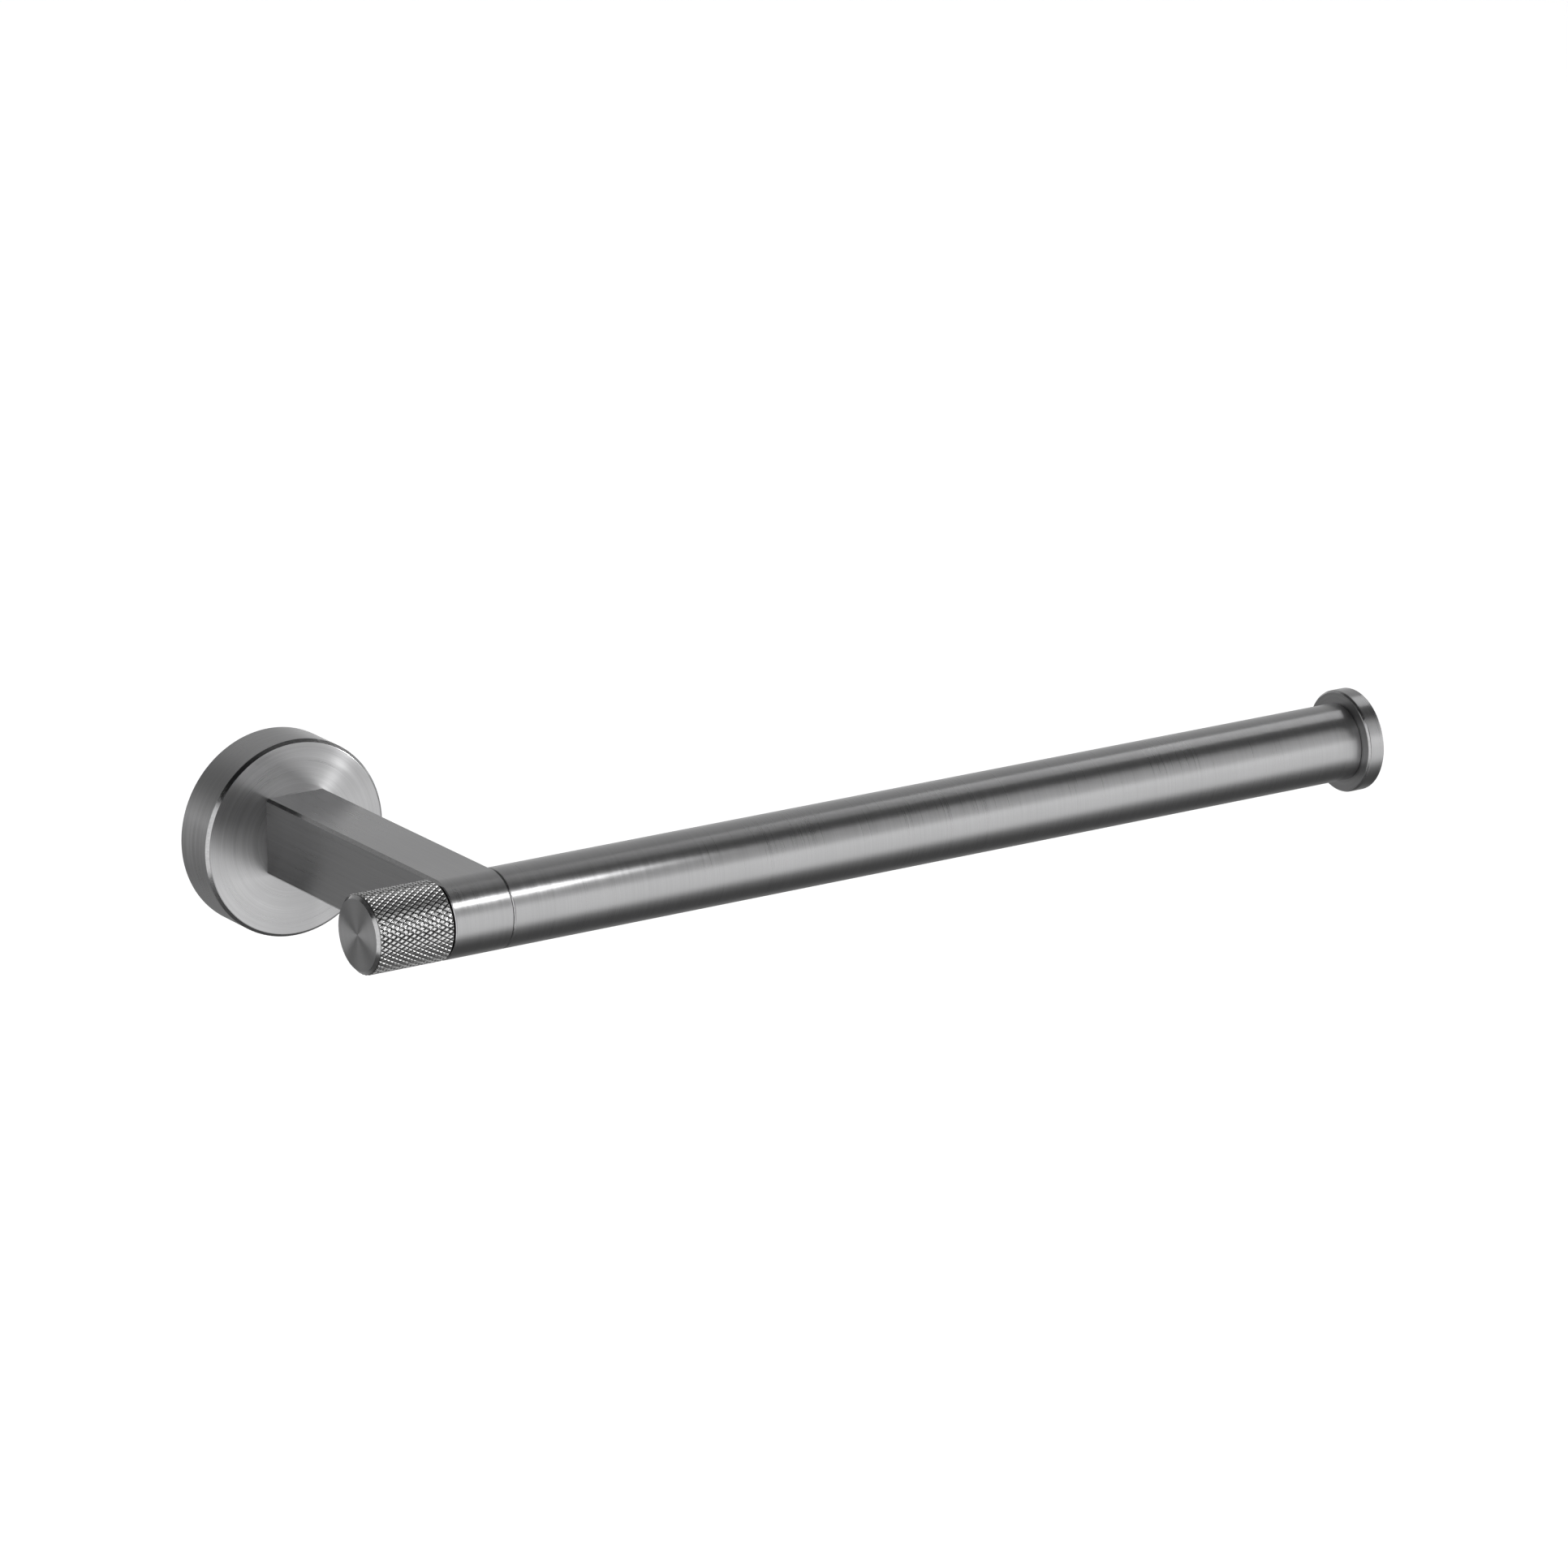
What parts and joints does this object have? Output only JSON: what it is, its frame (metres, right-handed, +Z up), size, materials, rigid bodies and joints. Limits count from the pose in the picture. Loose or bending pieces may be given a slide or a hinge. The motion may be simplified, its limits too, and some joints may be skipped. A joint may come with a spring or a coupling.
{
  "type": "paper towel holder",
  "caption": "Wall-mounted paper towel holder: round rosette, rectangular arm, horizontal bar with an end cap, and a knurled clamp knob.",
  "frame": {"origin": "centre of the rosette's back, on the wall plane", "axes": "+X along the bar from the arm to the end cap, +Y into the wall, +Z up; the holder stands out from the wall towards -Y"},
  "size_m": [0.328, 0.1166, 0.056],
  "materials": {
    "brushed_steel": "fine straight or circular brushing",
    "turned_steel": "brushed around the bar",
    "knurled_steel": "fine diamond knurl with a turned end face",
    "zinc_steel": "bright zinc-plated, satin",
    "black_steel": "black oxide, satin",
    "black_nylon": "matt black nylon"
  },
  "bodies": {
    "root": {"wall_plate": "zinc_steel", "rosette": "brushed_steel", "rosette_set_screw": "black_steel", "arm_screw_upper": "zinc_steel", "arm_screw_lower": "zinc_steel", "arm": "brushed_steel", "bar_tube": "turned_steel", "clamp_stud": "zinc_steel", "bar_insert_arm_end": "zinc_steel", "anti_turn_pin": "zinc_steel", "bar_insert_cap_end": "zinc_steel", "cap_stud": "zinc_steel", "end_cap": "brushed_steel"},
    "knob_slider": {"knob_washer": "black_nylon"},
    "clamp_knob": {"knob": "knurled_steel"}
  },
  "joints": [
    {"name": "knob_travel", "type": "slide", "parent": "root", "child": "knob_slider", "axis": [-1, 0, 0], "range_m": [0, 0.006]},
    {"name": "knob_turn", "type": "hinge", "parent": "knob_slider", "child": "clamp_knob", "pos_m": [-0.02, -0.102, 0.0018], "axis": [-1, 0, 0], "range_deg": [0, 2160]}
  ],
  "couplings": [
    {"joint": "knob_turn", "follows": "knob_travel", "rad_per_m": 6283.2}
  ]
}
